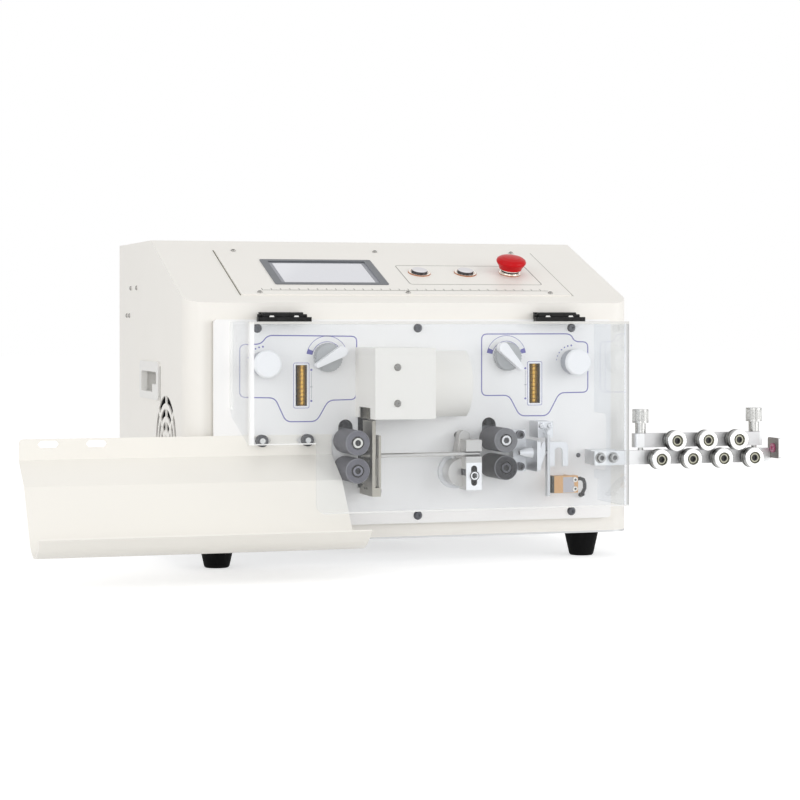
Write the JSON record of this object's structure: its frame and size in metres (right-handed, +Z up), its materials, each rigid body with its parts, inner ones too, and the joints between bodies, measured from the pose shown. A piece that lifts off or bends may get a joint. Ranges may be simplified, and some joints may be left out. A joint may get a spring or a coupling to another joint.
{
  "type": "wire stripping machine",
  "caption": "Bench-top wire cutting and stripping machine: sloping control deck, front plate with feed rollers and blades under a hinged clear guard, wire straightener and delivery tray.",
  "frame": {"origin": "middle of the machine's footprint, on the floor", "axes": "+X to the right as the operator stands, +Y away from the operator, +Z up"},
  "size_m": [0.813, 0.5404, 0.343],
  "materials": {
    "cream_paint": "satin powder coat",
    "plate_white": "fine satin white",
    "black_plastic": "matte",
    "grey_plastic": "matte",
    "white_plastic": "soft gloss",
    "bezel_grey": "matte",
    "clear_acrylic": "clear",
    "steel": "brushed",
    "dark_steel": "blackened",
    "chrome": "polished",
    "alloy": "machined",
    "roller_rubber": "matte",
    "foot_rubber": "matte",
    "stop_red": "gloss",
    "spring_amber": "satin",
    "switch_tan": "matte",
    "eyelet_pink": "glazed",
    "board_green": "matte"
  },
  "bodies": {
    "machine": {"case_shell": "cream_paint", "base_plate": "cream_paint", "rear_panel": "cream_paint", "feet": "foot_rubber", "screws": "steel", "carry_handles": "grey_plastic", "deck_panel": "plate_white", "screen_unit": "bezel_grey", "control_collars": "grey_plastic", "mains_inlet": "black_plastic", "fan_frame": "black_plastic", "power_supply": "alloy", "control_board": "board_green", "front_plate": "plate_white", "hinge_blocks": "black_plastic", "cutter_cover": "cream_paint", "blade_guide": "steel", "inlet_guides": "steel", "sensor_switch": "switch_tan", "sensor_lead": "black_plastic", "straightener_frame": "alloy", "wire_eyelet": "eyelet_pink", "tray": "cream_paint", "tray_knobs": "black_plastic", "bearing_plate": "alloy", "drive_motors": "dark_steel", "pressure_spring_left": "spring_amber", "pressure_spring_right": "spring_amber"},
    "guard": {"guard": "clear_acrylic", "hinge_leaves": "black_plastic"},
    "pressure_knob_left": {"pressure_knob_left": "white_plastic"},
    "pressure_knob_right": {"pressure_knob_right": "white_plastic"},
    "gap_knob_left": {"gap_knob_left": "white_plastic"},
    "gap_knob_right": {"gap_knob_right": "white_plastic"},
    "swing_arm_left": {"swing_arm_left": "steel"},
    "swing_arm_right": {"swing_arm_right": "steel"},
    "feed_roller_upper_left": {"feed_roller_upper_left": "roller_rubber"},
    "feed_roller_lower_left": {"feed_roller_lower_left": "roller_rubber"},
    "feed_roller_upper_right": {"feed_roller_upper_right": "roller_rubber"},
    "feed_roller_lower_right": {"feed_roller_lower_right": "roller_rubber"},
    "blade_screw": {"blade_screw": "steel"},
    "blade_carrier_upper": {"blade_carrier_upper": "dark_steel"},
    "blade_carrier_lower": {"blade_carrier_lower": "dark_steel"},
    "fan_rotor": {"fan_rotor": "black_plastic"},
    "push_button_left": {"push_button_left": "grey_plastic"},
    "push_button_right": {"push_button_right": "grey_plastic"},
    "stop_button": {"stop_button": "stop_red"},
    "power_rocker": {"power_rocker": "black_plastic"},
    "guide_arm": {"guide_arm": "chrome"},
    "sensor_lever": {"sensor_lever": "steel"},
    "straightener_bar": {"straightener_bar": "alloy"},
    "thumb_screw_left": {"thumb_screw_left": "chrome"},
    "thumb_screw_right": {"thumb_screw_right": "chrome"},
    "wheel_lower_1": {"wheel_lower_1": "chrome"},
    "wheel_lower_2": {"wheel_lower_2": "chrome"},
    "wheel_lower_3": {"wheel_lower_3": "chrome"},
    "wheel_lower_4": {"wheel_lower_4": "chrome"},
    "wheel_upper_1": {"wheel_upper_1": "chrome"},
    "wheel_upper_2": {"wheel_upper_2": "chrome"},
    "wheel_upper_3": {"wheel_upper_3": "chrome"}
  },
  "joints": [
    {"name": "guard_hinge", "type": "hinge", "parent": "machine", "child": "guard", "pos_m": [0.0085, -0.12653, 0.26], "axis": [-1, 0, 0], "range_deg": [0, 110]},
    {"name": "pressure_left_turn", "type": "hinge", "parent": "machine", "child": "pressure_knob_left", "pos_m": [-0.1575, -0.12253, 0.211], "axis": [0, 1, 0], "range_deg": [0, 270]},
    {"name": "pressure_right_turn", "type": "hinge", "parent": "machine", "child": "pressure_knob_right", "pos_m": [0.1815, -0.12253, 0.211], "axis": [0, 1, 0], "range_deg": [0, 270]},
    {"name": "gap_left_turn", "type": "hinge", "parent": "machine", "child": "gap_knob_left", "pos_m": [-0.09, -0.12253, 0.2172], "axis": [0, -1, 0], "range_deg": [0, 120]},
    {"name": "gap_right_turn", "type": "hinge", "parent": "machine", "child": "gap_knob_right", "pos_m": [0.107, -0.12253, 0.2172], "axis": [0, 1, 0], "range_deg": [0, 120]},
    {"name": "arm_left_swing", "type": "hinge", "parent": "machine", "child": "swing_arm_left", "pos_m": [-0.1505, -0.10853, 0.1452], "axis": [0, 1, 0], "range_deg": [0, 1.5], "deforming": ["pressure_spring_left"]},
    {"name": "arm_right_swing", "type": "hinge", "parent": "machine", "child": "swing_arm_right", "pos_m": [0.1675, -0.10853, 0.1452], "axis": [0, -1, 0], "range_deg": [0, 1.5], "deforming": ["pressure_spring_right"]},
    {"name": "feed_lower_left_spin", "type": "hinge", "parent": "machine", "child": "feed_roller_lower_left", "pos_m": [-0.0715, -0.11453, 0.1028], "axis": [0, 1, 0], "continuous": true},
    {"name": "feed_upper_left_spin", "type": "hinge", "parent": "swing_arm_left", "child": "feed_roller_upper_left", "pos_m": [-0.0715, -0.11453, 0.1312], "axis": [0, 1, 0], "continuous": true},
    {"name": "feed_lower_right_spin", "type": "hinge", "parent": "machine", "child": "feed_roller_lower_right", "pos_m": [0.0885, -0.11453, 0.1028], "axis": [0, 1, 0], "continuous": true},
    {"name": "feed_upper_right_spin", "type": "hinge", "parent": "swing_arm_right", "child": "feed_roller_upper_right", "pos_m": [0.0885, -0.11453, 0.1312], "axis": [0, 1, 0], "continuous": true},
    {"name": "blade_screw_turn", "type": "hinge", "parent": "machine", "child": "blade_screw", "pos_m": [-0.051, -0.07153, 0.14], "axis": [0, 0, 1], "range_deg": [-1, 722]},
    {"name": "blade_upper_slide", "type": "slide", "parent": "machine", "child": "blade_carrier_upper", "axis": [0, 0, -1], "range_m": [0, 0.008]},
    {"name": "blade_lower_slide", "type": "slide", "parent": "machine", "child": "blade_carrier_lower", "axis": [0, 0, 1], "range_m": [0, 0.0081]},
    {"name": "guide_swing", "type": "hinge", "parent": "machine", "child": "guide_arm", "pos_m": [0.048, -0.11453, 0.097], "axis": [0, 1, 0], "range_deg": [0, 10]},
    {"name": "lever_swing", "type": "hinge", "parent": "machine", "child": "sensor_lever", "pos_m": [0.1415, -0.15453, 0.138], "axis": [0, 1, 0], "range_deg": [0, 4], "stiffness_Nm_per_rad": 0.05, "springref_deg": -2.86},
    {"name": "bar_slide", "type": "slide", "parent": "machine", "child": "straightener_bar", "axis": [0, 0, 1], "range_m": [-0.002, 0.004]},
    {"name": "thumb_left_turn", "type": "hinge", "parent": "straightener_bar", "child": "thumb_screw_left", "pos_m": [0.252, -0.14353, 0.14], "axis": [0, 0, 1], "range_deg": [-722, 1443]},
    {"name": "thumb_right_turn", "type": "hinge", "parent": "straightener_bar", "child": "thumb_screw_right", "pos_m": [0.3859, -0.14353, 0.14], "axis": [0, 0, 1], "range_deg": [-722, 1443]},
    {"name": "wheel_lower_1_spin", "type": "hinge", "parent": "machine", "child": "wheel_lower_1", "pos_m": [0.2685, -0.15453, 0.1072], "axis": [0, 1, 0], "continuous": true},
    {"name": "wheel_lower_2_spin", "type": "hinge", "parent": "machine", "child": "wheel_lower_2", "pos_m": [0.3049, -0.15453, 0.1072], "axis": [0, 1, 0], "continuous": true},
    {"name": "wheel_lower_3_spin", "type": "hinge", "parent": "machine", "child": "wheel_lower_3", "pos_m": [0.3413, -0.15453, 0.1072], "axis": [0, 1, 0], "continuous": true},
    {"name": "wheel_lower_4_spin", "type": "hinge", "parent": "machine", "child": "wheel_lower_4", "pos_m": [0.3777, -0.15453, 0.1072], "axis": [0, 1, 0], "continuous": true},
    {"name": "wheel_upper_1_spin", "type": "hinge", "parent": "straightener_bar", "child": "wheel_upper_1", "pos_m": [0.2867, -0.15453, 0.1268], "axis": [0, 1, 0], "continuous": true},
    {"name": "wheel_upper_2_spin", "type": "hinge", "parent": "straightener_bar", "child": "wheel_upper_2", "pos_m": [0.3231, -0.15453, 0.1268], "axis": [0, 1, 0], "continuous": true},
    {"name": "wheel_upper_3_spin", "type": "hinge", "parent": "straightener_bar", "child": "wheel_upper_3", "pos_m": [0.3595, -0.15453, 0.1268], "axis": [0, 1, 0], "continuous": true},
    {"name": "button_left_press", "type": "slide", "parent": "machine", "child": "push_button_left", "axis": [0, 0.3528, -0.9357], "range_m": [0, 0.0015], "stiffness_N_per_m": 600, "springref_m": -0.001},
    {"name": "button_right_press", "type": "slide", "parent": "machine", "child": "push_button_right", "axis": [0, 0.3528, -0.9357], "range_m": [0, 0.0015], "stiffness_N_per_m": 600, "springref_m": -0.001},
    {"name": "stop_press", "type": "slide", "parent": "machine", "child": "stop_button", "axis": [0, 0.3528, -0.9357], "range_m": [0, 0.0036]},
    {"name": "power_switch", "type": "hinge", "parent": "machine", "child": "power_rocker", "pos_m": [-0.1425, 0.26347, 0.103], "axis": [1, 0, 0], "range_deg": [-12, 0]},
    {"name": "fan_spin", "type": "hinge", "parent": "machine", "child": "fan_rotor", "pos_m": [-0.2275, -0.01503, 0.1195], "axis": [1, 0, 0], "continuous": true}
  ],
  "couplings": [
    {"joint": "arm_left_swing", "follows": "gap_left_turn", "ratio": 0.012088},
    {"joint": "arm_right_swing", "follows": "gap_right_turn", "ratio": 0.012088},
    {"joint": "feed_upper_left_spin", "follows": "feed_lower_left_spin", "ratio": -1},
    {"joint": "feed_upper_right_spin", "follows": "feed_lower_right_spin", "ratio": -1},
    {"joint": "blade_screw_turn", "follows": "blade_upper_slide", "rad_per_m": 1570.8},
    {"joint": "blade_lower_slide", "follows": "blade_upper_slide", "ratio": 1},
    {"joint": "thumb_left_turn", "follows": "bar_slide", "rad_per_m": 6283.2},
    {"joint": "thumb_right_turn", "follows": "bar_slide", "rad_per_m": 6283.2}
  ]
}
